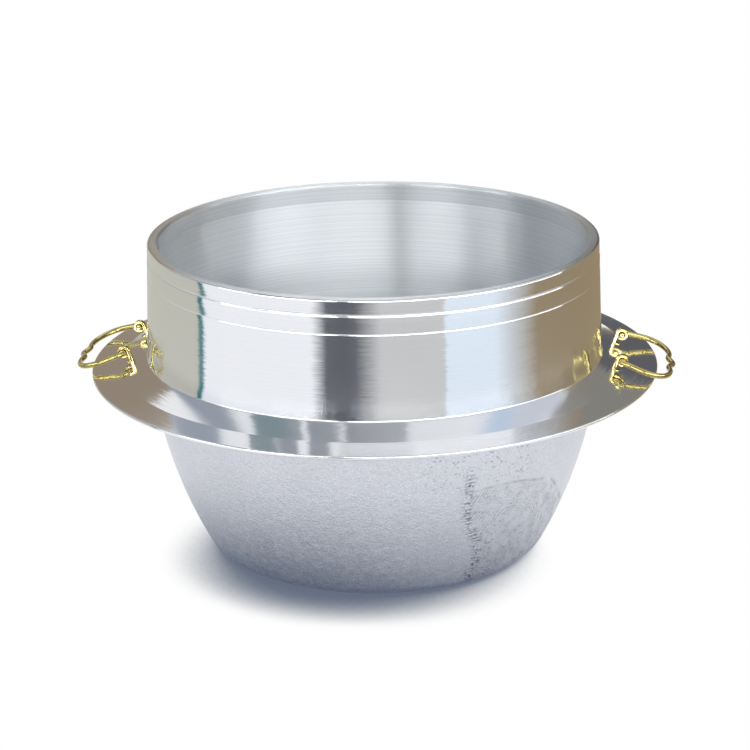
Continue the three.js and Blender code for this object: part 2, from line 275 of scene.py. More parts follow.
class PotSizes(bpy.types.PropertyGroup):
    """Sizes of the cast and turned pot."""

    height: length("Height", "From the base to the rim", POT_HIGH.z / MM)
    rim_radius: length("Rim Radius", "Outside radius at the rim", 150)
    wall: length("Wall", "Thickness of the wall and the base", 4.2)
    collar_height: length("Collar Height", "From the flange to the rim", 77.7)
    collar_flare: length("Collar Flare", "How much wider the collar is at the flange", 2.8)
    lip_thickness: length("Lip Thickness", "Thickness of the rim", 7.3)
    lip_depth: length("Lip Depth", "Height of the thick lip inside", 13.5)
    lip_round: length("Lip Round", "Radius of the rim's edges", 1.6)
    lip_step_round: length("Lip Step Round", "Radius where the thick lip ends inside", 0.5)
    groove_drop: length("Groove Drop", "From the rim to the deep groove", 10.1)
    groove_width: length("Groove Width", "Width of the deep groove", 2)
    groove_depth: length("Groove Depth", "Depth of the deep groove", 0.9)
    fine_groove_drop: length("Fine Groove Drop", "From the rim to the fine groove", 22.1)
    fine_groove_width: length("Fine Groove Width", "Width of the fine groove", 1.2)
    fine_groove_depth: length("Fine Groove Depth", "Depth of the fine groove", 0.4)
    flange_radius: length("Flange Radius", "Outside radius of the flange", POT_HIGH.y / MM)
    flange_inner_width: length("Flange Inner Width", "Width of the steep inner cone", 19.2)
    flange_inner_drop: length("Flange Inner Drop", "Drop of the steep inner cone", 6.2)
    flange_outer_drop: length("Flange Outer Drop", "Drop of the flatter outer cone", 2.5)
    flange_thickness: length("Flange Thickness", "Thickness of the flange", 3.4)
    flange_edge: length("Flange Edge", "Thickness at the flange's edge", 2.4)
    flange_edge_round: length("Flange Edge Round", "Radius of the flange's edge", 1)
    flange_top_fillet: length("Flange Top Fillet", "Radius where the collar meets the flange", 1.2)
    flange_under_fillet: length("Flange Under Fillet", "Radius where the bowl meets the flange", 6)
    crease_round: length("Crease Round", "Radius of the crease between the two cones", 3)
    bowl_inset: length("Bowl Inset", "How far the bowl's top lies inside the collar's foot", 0.6)
    bowl_top_slope: turn("Bowl Top Slope", "Lean of the bowl's side at its top", 5.7)
    bowl_foot_slope: turn("Bowl Foot Slope", "Lean of the bowl's side at its foot", 28)
    base_inset: length("Base Inset", "How far the base's flat lies inside the collar's foot", 51.2)
    base_corner: length("Base Corner", "Radius of the bowl's lower corner", 16.3)


class LugSizes(bpy.types.PropertyGroup):
    """Sizes of the riveted eye lugs and their washers."""

    offset: length("Offset", "From the bail's middle line to each lug", 28.5)
    standoff: length("Standoff", "From the collar's foot to the lug's seat", 12.2)
    foot_radius: length("Foot Radius", "Radius of the round foot", 2.7)
    foot_height: length("Foot Height", "Height of the round foot", 0.6)
    foot_round: length("Foot Round", "Radius of the foot's edge", 0.3)
    shank_radius: length("Shank Radius", "Radius of the shank in the flange", 1.8)
    eye_height: length("Eye Height", "From the seat up to the bail's axis", 7.2)
    eye_shift: length("Eye Shift", "From the shank's axis out to the bail's axis", 1.5)
    eye_radius: length("Eye Radius", "Outside radius of the eye", 3.9)
    eye_width: length("Eye Width", "Width of the eye along the bail's axis", 4.4)
    eye_open: turn("Eye Opening", "Where the curled strap ends, below the level", 120)
    strap_thickness: length("Strap Thickness", "Thickness of the strap where it rises", 2.5)
    strap_round: length("Strap Round", "Radius of the strap's edges", 0.6)
    peen_radius: length("Peen Radius", "Radius of the peened end", 3.4)
    peen_height: length("Peen Height", "Height of the peened end", 1.7)
    washer_radius: length("Washer Radius", "Outside radius of a washer", 4.9)
    washer_thickness: length("Washer Thickness", "Thickness of a washer", 1.2)
    washer_round: length("Washer Round", "Radius of a washer's edges", 0.3)
    fit_gap: length("Fit Gap", "Gap between pieces that seat on each other", 0.3)
    spot_depth: length("Spot Depth", "Depth of the spot faces in the flange", 0.3)
    spot_margin: length("Spot Margin", "How much wider a spot face is than what seats on it", 0.5)


class BailSizes(bpy.types.PropertyGroup):
    """Sizes of the bent wire bails."""

    wire_radius: length("Wire Radius", "Radius of the wire", 1.85)
    pivot_proud: length("Pivot Proud", "How far the wire's end stands out of the eye", 1.2)
    elbow_gap: length("Elbow Gap", "From the eye to the start of the elbow", 0.5)
    elbow_radius: length("Elbow Radius", "Radius of the elbow", 3.2)
    leg_length: length("Leg Length", "From the axis to the end of a leg", 18)
    leg_flare: length("Leg Flare", "How much further out a leg ends than its elbow", 3.6)
    bar_reach: length("Bar Reach", "From the axis to the bar", 33.6)
    bar_end: length("Bar End", "Half the width of the bar", 17)
    dip_depth: length("Dip Depth", "How far the bar draws in beside its point", 0.8)
    dip_end: length("Dip End", "Half the distance between the two dips", 10)
    point_rise: length("Point Rise", "How far the point stands out of the bar", 2.2)
    droop: turn("Droop", "How far a bail hangs below the level", 18.392)


class Finishes(bpy.types.PropertyGroup):
    """Colours and roughness of the metals."""

    turned: colour("Turned Aluminium", "Colour of the turned faces", (0.86, 0.87, 0.89))
    turned_roughness: share("Turned Roughness", "Roughness of the collar and the flange", 0.09)
    inside: colour("Inside", "Colour of the brushed inside", (0.85, 0.88, 0.905))
    inside_roughness: share("Inside Roughness", "Roughness of the brushed inside", 0.42)
    cast: colour("Cast Aluminium", "Colour of the cast bowl", (0.75, 0.77, 0.83))
    cast_roughness: share("Cast Roughness", "Roughness of the cast bowl", 0.42)
    brass: colour("Brass", "Colour of the bails and the lugs", (0.70, 0.60, 0.25))
    brass_roughness: share("Brass Roughness", "Roughness of the bails and the lugs", 0.05)
    dull_brass: colour("Dull Brass", "Colour of the washers", (0.62, 0.49, 0.20))


class StageSettings(bpy.types.PropertyGroup):
    """The camera, the floor and the light around the pot."""

    azimuth: turn("Camera Azimuth", "Where the camera stands, from the front towards +X", 5.7)
    distance: length("Camera Distance", "Level distance from the pot's axis to the camera", 1542.68)
    height: length("Camera Height", "Height of the camera above the floor", 632.28)
    pitch: turn("Camera Pitch", "How far the camera looks down", 18.54)
    roll: turn("Camera Roll", "How far the camera leans", -0.782)
    lens: bpy.props.FloatProperty(name="Lens", description="Focal length", default=115.2, unit="CAMERA")
    floor_radius: length("Floor Radius", "Radius of the round floor", 520)
    contact_reach: length("Contact Reach", "How far from the pot the floor is in close shade", 65)
    mirrored_reach: length("Mirrored Reach", "How far from the pot the metal sees the floor in shade", 120)
    flat_distance: length("Flat Distance", "From the pot's axis to the studio flats", 3000)


# Profiles: points of radius and height, in a half plane that is turned about Z


def at(radius, height):
    """A point of a profile."""
    return Vector((radius, height))


def arc(centre, radius, start, end, steps=ROUND_STEPS):
    """Points on an arc, both ends included."""
    points = []
    for i in range(steps + 1):
        angle = start + (end - start) * i / steps
        points.append(centre + at(math.cos(angle), math.sin(angle)) * radius)
    return points


def fillet(before, corner, after, wanted, steps=ROUND_STEPS):
    """The points that round the corner between two straight runs, taking at most half of each run."""
    back = (before - corner).normalized()
    ahead = (after - corner).normalized()
    half = back.angle(ahead) / 2
    room = min((before - corner).length, (after - corner).length) / 2
    run = min(wanted / math.tan(half), room)
    radius = run * math.tan(half)
    centre = corner + (back + ahead).normalized() * (radius / math.sin(half))
    start = corner + back * run - centre
    sweep = -start.angle_signed(corner + ahead * run - centre)
    first = math.atan2(start.y, start.x)
    return arc(centre, radius, first, first + sweep, steps)


def pulls(start, start_aim, end, end_aim):
    """The inner control points of a cubic that leaves one point and reaches the next as an arc would."""
    pull = (end - start).length / (3 * math.cos(start_aim.angle(end_aim) / 4) ** 2)
    return start + start_aim * pull, end - end_aim * pull


def cubic(a, b, c, d, t):
    """A point on a cubic curve."""
    s = 1 - t
    return a * s**3 + b * (3 * s * s * t) + c * (3 * s * t * t) + d * t**3


def spaced(points, step):
    """The same run of points with more between them, so that none lie further apart than a step."""
    filled = [points[0]]
    for a, b in zip(points, points[1:]):
        pieces = max(1, math.ceil((b - a).length / step))
        filled += [a.lerp(b, i / pieces) for i in range(1, pieces + 1)]
    return filled


def directions(points):
    """The way a run of points goes at each of them."""
    ahead = points[1:] + points[-1:]
    behind = points[:1] + points[:-1]
    return [(a - b).normalized() for a, b in zip(ahead, behind)]


class PotShape:
    """Key points of the pot's profile, worked out from its sizes."""

    def __init__(self, sizes):
        self.sizes = sizes
        self.root = at(sizes.rim_radius + sizes.collar_flare, sizes.height - sizes.collar_height)
        self.crease = self.root + at(sizes.flange_inner_width, -sizes.flange_inner_drop)
        self.edge = at(sizes.flange_radius, self.crease.y - sizes.flange_outer_drop)
        self.lean = math.atan2(sizes.flange_inner_drop, sizes.flange_inner_width)
        self.corner = at(self.root.x - sizes.base_inset, sizes.base_corner)
        self.bowl_top = at(self.root.x - sizes.bowl_inset, self.root.y - sizes.flange_thickness)

    def collar(self, drop):
        """A point on the collar's outside, so far below the rim."""
        sizes = self.sizes
        return at(sizes.rim_radius + sizes.collar_flare * drop / sizes.collar_height, sizes.height - drop)

    def groove(self, drop, width, depth):
        """A rounded groove in the collar, from its lower edge to its upper one."""
        low = self.collar(drop + width / 2)
        high = self.collar(drop - width / 2)
        bottom = self.collar(drop) - at(depth, 0)
        return [low, *fillet(low, bottom, high, width / 3), high]

    def bowl(self, depth, rows):
        """The bowl's side, or the same curve moved in by a depth, from the foot up."""
        sizes = self.sizes
        slope, top_slope = sizes.bowl_foot_slope, sizes.bowl_top_slope
        foot = self.corner + at(math.cos(slope), -math.sin(slope)) * sizes.base_corner
        foot_aim = at(math.sin(slope), math.cos(slope))
        top_aim = at(math.sin(top_slope), math.cos(top_slope))
        controls = (foot, *pulls(foot, foot_aim, self.bowl_top, top_aim), self.bowl_top)
        curve = [cubic(*controls, i / rows) for i in range(rows + 1)]
        return [point + at(-along.y, along.x) * depth for point, along in zip(curve, directions(curve))]


# Meshes


def columns():
    """Azimuths of the pot's columns of faces, closer together where the casting shows its marks."""
    fine = round((FINE_TO - FINE_FROM) / FRONT_COLUMNS)
    plain = round((2 * math.pi - FINE_TO + FINE_FROM) / BACK_COLUMNS)
    front = [FINE_FROM + (FINE_TO - FINE_FROM) * i / fine for i in range(fine)]
    back = [FINE_TO + (2 * math.pi - FINE_TO + FINE_FROM) * i / plain for i in range(plain)]
    return front + back


def even(sides):
    """Azimuths of evenly spaced columns."""
    return [2 * math.pi * i / sides for i in range(sides)]


def around(radius, azimuth, height):
    """A point so far from the Z axis, at an azimuth from the front towards +X."""
    return radius * math.sin(azimuth), -radius * math.cos(azimuth), height


def unmarked(point, azimuth, row):
    """A point of a plain profile stays where it is, and has no mark."""
    return point, 0.0


def turned(mesh, profile, azimuths, closed=False, slots=None, place=unmarked):
    """Add a profile turned about Z to a bmesh. A point on the axis becomes one vertex."""
    # per vertex, the painted shade in the hollows of the casting marks
    marks = mesh.verts.layers.float.new(MARK_SHADE)
    rows = []
    for row, point in enumerate(profile):
        if point.x < TINY:
            rows.append([mesh.verts.new((0, 0, point.y))] * len(azimuths))
            continue
        ring = []
        for azimuth in azimuths:
            moved, mark = place(point, azimuth, row)
            ring.append(mesh.verts.new(around(moved.x, azimuth, moved.y)))
            ring[-1][marks] = mark
        rows.append(ring)
    if closed:
        rows.append(rows[0])
    for row, (low, high) in enumerate(zip(rows, rows[1:])):
        for i in range(len(azimuths)):
            j = (i + 1) % len(azimuths)
            corners = list(dict.fromkeys((low[i], low[j], high[j], high[i])))
            if len(corners) < 3:
                continue
            face = mesh.faces.new(corners)
            face.smooth = True
            if slots:
                face.material_index = slots[row]


def skin(mesh, rows):
    """Add the faces between closed rows of vertices to a bmesh, and one at each end."""
    for low, high in zip(rows, rows[1:]):
        for k in range(len(low)):
            n = (k + 1) % len(low)
            mesh.faces.new((low[k], low[n], high[n], high[k])).smooth = True
    mesh.faces.new(rows[0]).smooth = True
    mesh.faces.new(rows[-1]).smooth = True


def rounded_end(point, along, radius):
    """Middles and radii of the rings of a wire's rounded end, from the full wire outwards."""
    for k in range(1, WIRE_END_ROWS + 1):
        angle = WIRE_END_TURN * k / WIRE_END_ROWS
        middle = point + along * (math.sin(angle) * radius * WIRE_END_ROUND)
        yield middle, radius * (1 - WIRE_END_ROUND * (1 - math.cos(angle)))


def swept(mesh, path, radius, sides, across):
    """Add a round wire with rounded ends to a bmesh, along a flat path whose plane has the normal across."""
    side_reflection = mesh.verts.layers.float.new(SIDE_REFLECTION)
    rings = [(point, along, radius) for point, along in zip(path, directions(path))]
    first, first_along, _ = rings[0]
    last, last_along, _ = rings[-1]
    start = [(middle, first_along, size) for middle, size in rounded_end(first, -first_along, radius)]
    end = [(middle, last_along, size) for middle, size in rounded_end(last, last_along, radius)]
    rows = []
    for point, along, size in start[::-1] + rings + end:
        side = along.cross(across)
        ring = []
        for k in range(sides):
            angle = 2 * math.pi * k / sides
            ring.append(mesh.verts.new(point + (side * math.cos(angle) + across * math.sin(angle)) * size))
            # how far round to the wire's side a vertex lies, for the painted dark reflection there
            ring[-1][side_reflection] = abs(math.cos(angle))
        rows.append(ring)
    skin(mesh, rows)


def piece(name, mesh, materials):
    """A new object from a bmesh, with outward faces and its materials."""
    bmesh.ops.recalc_face_normals(mesh, faces=mesh.faces)
    data = bpy.data.meshes.new(name)
    mesh.to_mesh(data)
    mesh.free()
    for material in materials:
        data.materials.append(material)
    made = bpy.data.objects.new(name, data)
    bpy.context.scene.collection.objects.link(made)
    return made


def settle(made):
    """Apply a piece's modifiers to its mesh."""
    bpy.context.view_layer.update()
    evaluated = made.evaluated_get(bpy.context.evaluated_depsgraph_get())
    data = bpy.data.meshes.new_from_object(evaluated)
    old = made.data
    made.modifiers.clear()
    made.data = data
    data.name = made.name
    bpy.data.meshes.remove(old)


def weigh_normals(made):
    """Let large faces set the shading at their edges, so that flats stay flat beside small rounds."""
    weighing = made.modifiers.new("Weighted Normal", "WEIGHTED_NORMAL")
    weighing.mode = "FACE_AREA"
    weighing.keep_sharp = True


# Casting marks


def ease(low, high, value):
    """A smooth step from 0 at low to 1 at high."""
    t = min(1.0, max(0.0, (value - low) / (high - low)))
    return t * t * (3 - 2 * t)


def within(low, high, soft, value):
    """1 between two limits, falling to 0 over a soft margin outside them."""
    return ease(low - soft, low, value) * (1 - ease(high, high + soft, value))


def lap_marks(u, v, from_lap, pits, patches):
    """Relief of the lap, a trail of pits and short folds where two flows of metal met, with painted shade in
    its pits and in the troughs of its folds.
    """
    warp = noise.noise_vector(Vector((u / WARP_CELL, v / WARP_CELL, 5.5)))
    lap = math.exp(-((from_lap / LAP_WIDTH) ** 2)) * within(*LAP_HEIGHTS, SOFT_EDGE, v)
    folds = math.sin((v + 2.2 * warp.x + 0.8 * pits) * 2 * math.pi / FOLD_STEP)
    relief = lap * (FOLD_RELIEF * folds - LAP_PIT_DEPTH * ease(*PIT_LIMITS, pits))
    fold_trough_shade = 0.8 * ease(0.1, 0.9, -folds) * ease(-0.5, 0.1, patches)
    return relief, lap * (fold_trough_shade + 0.7 * ease(0.05, 0.35, pits))


def flow_marks(u, v, from_lap, pits, patches):
    """Relief of the last flow's front and of the fine ripples between it and the lap, with painted shade
    along the front's sunken line, in the ripples' troughs and on small pits.
    """
    drift = noise.noise_vector(Vector((u / DRIFT_CELL, v / DRIFT_CELL, 2.2)))
    beyond_lap = ease(-1, 6, from_lap)
    oval = math.hypot((u - FRONT_MIDDLE[0]) / FRONT_RADII[0], (v - FRONT_MIDDLE[1]) / FRONT_RADII[1])
    from_front = FRONT_SIZE * (oval - 1) + FRONT_WAVER * drift.x
    line = math.exp(-((from_front / FRONT_WIDTH) ** 2))
    front = beyond_lap * line * ease(10, 24, v) * ease(-0.6, 0.2, patches)
    across_swirl = u - SWIRL_MIDDLE[0] + SWIRL_WAVER * drift.x
    up_swirl = SWIRL_SQUASH * (v - SWIRL_MIDDLE[1] + SWIRL_WAVER * drift.y)
    ripples = math.sin(math.hypot(across_swirl, up_swirl) * 2 * math.pi / RIPPLE_STEP)
    strength = beyond_lap * (1 - ease(-4, 0, from_front)) * ease(-4, 8, v) * ease(-0.7, 0.4, patches)
    relief = strength * (RIPPLE_RELIEF * ripples + RIPPLE_PITS * pits) - FRONT_DEPTH * front
    dark = strength * (0.4 * ease(0.0, 1.0, -ripples) + 0.3 * ease(*PIT_LIMITS, pits))
    return relief, dark + 0.45 * front


def scattered_marks(across, v, pits):
    """Relief of the pits scattered above the lap and of the small rough spots to the left, with painted shade
    in their hollows.
    """
    place = within(*SCATTER_AZIMUTHS, SOFT_SIDE, across) * within(*SCATTER_HEIGHTS, SOFT_EDGE, v)
    above = place * ease(*DEEP_PIT_LIMITS, pits)
    spots = 0
    for azimuth, height, half_width, half_height, strength in ROUGH_SPOTS:
        away = ((across - azimuth) / half_width) ** 2 + ((v - height) / half_height) ** 2
        spots += strength * math.exp(-away)
    relief = ROUGH_RELIEF * spots * pits - SCATTER_DEPTH * above
    return relief, 0.6 * above + 0.3 * spots * ease(*PIT_LIMITS, -pits)


def casting_skin(radius, azimuth, height):
    """How far the casting's skin stands out of the bowl's smooth side, in metres, and how much painted shade
    lies in its hollows.

    u runs along the bowl and v up, in millimetres. Plain numbers in the noises keep their patterns apart.
    """
    across = math.degrees(azimuth)
    u = radius * azimuth / MM
    v = height / MM
    pits = noise.noise(Vector((u / PIT_CELL[0], v / PIT_CELL[1], 7.7)))
    patches = noise.noise(Vector((u / PATCH_CELL, v / PATCH_CELL, 1.9)))
    waver = LAP_WAVER * noise.noise(Vector((v / WAVER_CELL, 3.1, 0)))
    lap_azimuth = LAP_AZIMUTH + LAP_TURN * ease(*LAP_TURN_HEIGHTS, v) + waver
    from_lap = math.radians(across - lap_azimuth) * radius / MM
    marks = (
        lap_marks(u, v, from_lap, pits, patches),
        flow_marks(u, v, from_lap, pits, patches),
        scattered_marks(across, v, pits),
    )
    relief, dark = map(sum, zip(*marks))
    return relief * MM, min(1.0, dark)


# Materials


def new_material(name):
    """A node material, its tree and its Principled shader."""
    material = bpy.data.materials.new(name)
    material.use_nodes = True
    return material, material.node_tree, material.node_tree.nodes["Principled BSDF"]


def feed(tree, socket, value):
    """Link a value to a socket, or set it there when it is a constant."""
    if isinstance(value, bpy.types.NodeSocket):
        tree.links.new(value, socket)
    elif socket.type == "RGBA":
        socket.default_value = (*value, 1)
    else:
        socket.default_value = value


def math_node(tree, operation, *inputs):
    """A math node with its inputs given as numbers or sockets."""
    node = tree.nodes.new("ShaderNodeMath")
    node.operation = operation
    for socket, value in zip(node.inputs, inputs):
        feed(tree, socket, value)
    return node.outputs[0]


def blend_node(tree, amount, a, b):
    """A mix of two colours, given as values or sockets."""
    node = tree.nodes.new("ShaderNodeMix")
    node.data_type = "RGBA"
    tree.links.new(amount, node.inputs["Factor"])
    feed(tree, node.inputs["A"], a)
    feed(tree, node.inputs["B"], b)
    return node.outputs["Result"]


def attribute_node(tree, name):
    """An attribute of the mesh, as one value."""
    node = tree.nodes.new("ShaderNodeAttribute")
    node.attribute_name = name
    return node.outputs["Fac"]


def spread(tree, value, low, high, from_low=0.3, from_high=0.7):
    """Map a noise value to a range."""
    node = tree.nodes.new("ShaderNodeMapRange")
    tree.links.new(value, node.inputs["Value"])
    node.inputs["From Min"].default_value = from_low
    node.inputs["From Max"].default_value = from_high
    node.inputs["To Min"].default_value = low
    node.inputs["To Max"].default_value = high
    return node.outputs["Result"]


def object_axes(tree):
    """The piece's own coordinates: the vector, its height and its distance from the axis."""
    place = tree.nodes.new("ShaderNodeTexCoord").outputs["Object"]
    split = tree.nodes.new("ShaderNodeSeparateXYZ")
    tree.links.new(place, split.inputs[0])
    x, y, z = split.outputs
    squares = math_node(tree, "ADD", math_node(tree, "MULTIPLY", x, x), math_node(tree, "MULTIPLY", y, y))
    return place, z, math_node(tree, "SQRT", squares)


def noise_node(tree, scale, detail, vector=None, along=None):
    """A noise texture in space, or along one value."""
    node = tree.nodes.new("ShaderNodeTexNoise")
    node.inputs["Scale"].default_value = scale
    node.inputs["Detail"].default_value = detail
    if along is None:
        tree.links.new(vector, node.inputs["Vector"])
    else:
        node.noise_dimensions = "1D"
        tree.links.new(along, node.inputs["W"])
    return node.outputs["Fac"]


def bump_node(tree, shader, height, distance, under=None):
    """Tilt the shading by a height, over another bump if one is given."""
    node = tree.nodes.new("ShaderNodeBump")
    node.inputs["Strength"].default_value = 1
    node.inputs["Distance"].default_value = distance
    tree.links.new(height, node.inputs["Height"])
    if under is not None:
        tree.links.new(under, node.inputs["Normal"])
    tree.links.new(node.outputs["Normal"], shader.inputs["Normal"])
    return node.outputs["Normal"]


def streaks(tree, place, along):
    """Noise drawn out around the axis into short streaks."""
    split = tree.nodes.new("ShaderNodeSeparateXYZ")
    tree.links.new(place, split.inputs[0])
    joined = tree.nodes.new("ShaderNodeCombineXYZ")
    values = (split.outputs[0], split.outputs[1], math_node(tree, "MULTIPLY", along, STREAK_STRETCH))
    for value, socket in zip(values, joined.inputs):
        tree.links.new(value, socket)
    return noise_node(tree, STREAK_SCALE, 2, vector=joined.outputs[0])


def swayed_normal(tree, tangent, value, most):
    """The surface's normal, swayed along a tangent by a noise value."""
    sway = tree.nodes.new("ShaderNodeVectorMath")
    sway.operation = "SCALE"
    tree.links.new(tangent, sway.inputs[0])
    tree.links.new(spread(tree, value, -most, most), sway.inputs["Scale"])
    both = tree.nodes.new("ShaderNodeVectorMath")
    both.operation = "ADD"
    tree.links.new(tree.nodes.new("ShaderNodeNewGeometry").outputs["Normal"], both.inputs[0])
    tree.links.new(sway.outputs[0], both.inputs[1])
    unit = tree.nodes.new("ShaderNodeVectorMath")
    unit.operation = "NORMALIZE"
    tree.links.new(both.outputs[0], unit.inputs[0])
    return unit.outputs[0]


def turned_metal(name, tint, roughness, line_depth, spin, shade, upright=False):
    """Aluminium turned on a lathe: fine lines around the axis, and reflections drawn out across them.

    spin is how far they are drawn out, and shade is how much of the colour the darkest lines keep. The lines
    follow each other by height on an upright wall, and by radius elsewhere.
    """
    material, tree, shader = new_material(name)
    place, height, radius = object_axes(tree)
    along = height if upright else radius
    lines = noise_node(tree, LATHE_LINES, 3, along=along)
    cuts = noise_node(tree, LATHE_CUTS, 2, along=along)
    bands = noise_node(tree, LATHE_BANDS, 2, along=along)
    smears = noise_node(tree, LATHE_SMEARS, 3, vector=place)
    light_and_dark = blend_node(tree, spread(tree, cuts, 0, 1, 0.35, 0.65), [c * shade for c in tint], tint)
    tree.links.new(light_and_dark, shader.inputs["Base Color"])
    shader.inputs["Metallic"].default_value = 1
    shader.inputs["Anisotropic"].default_value = spin
    shader.inputs["Anisotropic Rotation"].default_value = QUARTER_TURN
    tangent = tree.nodes.new("ShaderNodeTangent")
    tangent.direction_type = "RADIAL"
    tangent.axis = "Z"
    tree.links.new(tangent.outputs[0], shader.inputs["Tangent"])
    brushed = spread(tree, lines, roughness * 0.8, roughness * 1.15)
    tree.links.new(math_node(tree, "ADD", brushed, spread(tree, smears, 0, 0.03)), shader.inputs["Roughness"])
    swayed = swayed_normal(tree, tangent.outputs[0], streaks(tree, place, along), LATHE_SWAY)
    under = bump_node(tree, shader, bands, line_depth * 3, under=swayed)
    under = bump_node(tree, shader, cuts, line_depth * 1.2, under=under)
    bump_node(tree, shader, lines, line_depth, under=under)
    return material


def cast_metal(finishes):
    """Sand-cast aluminium: pale, dull and finely grained."""
    material, tree, shader = new_material("cast_aluminium")
    place, _, _ = object_axes(tree)
    grain = noise_node(tree, CAST_GRAIN, 3, vector=place)
    mottle = noise_node(tree, CAST_MOTTLE, 4, vector=place)
    stains = noise_node(tree, CAST_STAINS, 4, vector=place)
    speckle = math_node(tree, "MULTIPLY", spread(tree, stains, 0.7, 1), spread(tree, grain, 0.2, 1))
    tone = blend_node(tree, speckle, [c * CAST_DARK for c in finishes.cast], finishes.cast)
    # painted shade in the hollows of the casting marks, strongest where the mark attribute is full
    hollow_shaded = blend_node(tree, attribute_node(tree, MARK_SHADE), tone, HOLLOW_SHADE)
    tree.links.new(hollow_shaded, shader.inputs["Base Color"])
    shader.inputs["Metallic"].default_value = 1
    roughness = finishes.cast_roughness
    tree.links.new(spread(tree, mottle, roughness - 0.06, roughness + 0.06), shader.inputs["Roughness"])
    under = bump_node(tree, shader, mottle, CAST_RELIEF)
    bump_node(tree, shader, grain, CAST_RELIEF, under=under)
    return material


def brass_metal(name, tint, roughness):
    """Brass with faint handling marks, patches of tarnish, and a painted dark reflection along a wire's
    sides.
    """
    material, tree, shader = new_material(name)
    place, _, _ = object_axes(tree)
    marks = noise_node(tree, BRASS_MARKS, 3, vector=place)
    tarnish = noise_node(tree, BRASS_TARNISH, 3, vector=place)
    dark = [c * left for c, left in zip(tint, TARNISHED)]
    reflected_dark = [c * left for c, left in zip(tint, SIDE_REFLECTION_SHARE)]
    rubbed = blend_node(tree, spread(tree, tarnish, 0, 1, 0.35, 0.55), dark, tint)
    # painted reflection: darker along a wire's sides, as if the wire mirrored dark surroundings there
    sides = spread(tree, attribute_node(tree, SIDE_REFLECTION), 0, SIDE_REFLECTION_MOST, SIDE_REFLECTION_FROM, 1)
    with_side_reflection = blend_node(tree, sides, rubbed, reflected_dark)
    tree.links.new(with_side_reflection, shader.inputs["Base Color"])
    shader.inputs["Metallic"].default_value = 1
    tree.links.new(spread(tree, marks, roughness * 0.8, roughness * 1.5), shader.inputs["Roughness"])
    bump_node(tree, shader, marks, BRASS_RELIEF)
    return material


# Pieces


def half_turn(side):
    """Half a turn about Z for a piece on the left, and none for one on the right."""
    return Matrix.Rotation(0 if side == "right" else math.pi, 4, "Z")


def lug_seat(sizes, shape, side, flank):
    """A lug's place on the flange, leaning with it. On the right, flank is -1 in front and 1 behind."""
    radius = shape.root.x + sizes.standoff
    x = math.sqrt(radius**2 - sizes.offset**2)
    z = shape.root.y - sizes.standoff * math.tan(shape.lean)
    on_right = Matrix.Translation((x, flank * sizes.offset, z)) @ Matrix.Rotation(shape.lean, 4, "Y")
    return half_turn(side) @ on_right


def lug_places(sizes, shape):
    """Side, place and seat of every lug."""
    for side in SIDES:
        for place in PLACES:
            flank = -1 if (place == "front") == (side == "right") else 1
            yield side, place, lug_seat(sizes, shape, side, flank)


class LugHeights:
    """Heights along a lug's own axis, measured from the flange's surface at the middle of its seat."""

    def __init__(self, sizes, pot, shape):
        grip = pot.flange_thickness * math.cos(shape.lean)
        self.foot = sizes.fit_gap - sizes.spot_depth
        self.foot_top = self.foot + sizes.foot_height
        self.washer_seat = sizes.spot_depth - grip
        self.washer_top = self.washer_seat - sizes.fit_gap
        self.washer_bottom = self.washer_top - sizes.washer_thickness
        self.peen_top = self.washer_bottom - sizes.fit_gap
        self.peen_bottom = self.peen_top - sizes.peen_height
        self.bore = sizes.shank_radius + sizes.fit_gap


def shank_holes(sizes, pot, shape):
    """A cutter for the lugs' shank holes and the spot faces below the flange."""
    heights = LugHeights(sizes, pot, shape)
    washer = sizes.washer_radius + sizes.spot_margin
    below = heights.peen_bottom - sizes.fit_gap
    above = heights.foot_top
    profile = [
        at(0, below),
        at(washer, below),
        at(washer, heights.washer_seat),
        at(heights.bore, heights.washer_seat),
        at(heights.bore, above),
        at(0, above),
    ]
    mesh = bmesh.new()
    for _, _, seat in lug_places(sizes, shape):
        one = bmesh.new()
        turned(one, profile, even(SMALL_SIDES))
        one.transform(seat)
        part = bpy.data.meshes.new("hole")
        one.to_mesh(part)
        one.free()
        mesh.from_mesh(part)
        bpy.data.meshes.remove(part)
    return piece("shank_holes", mesh, [])


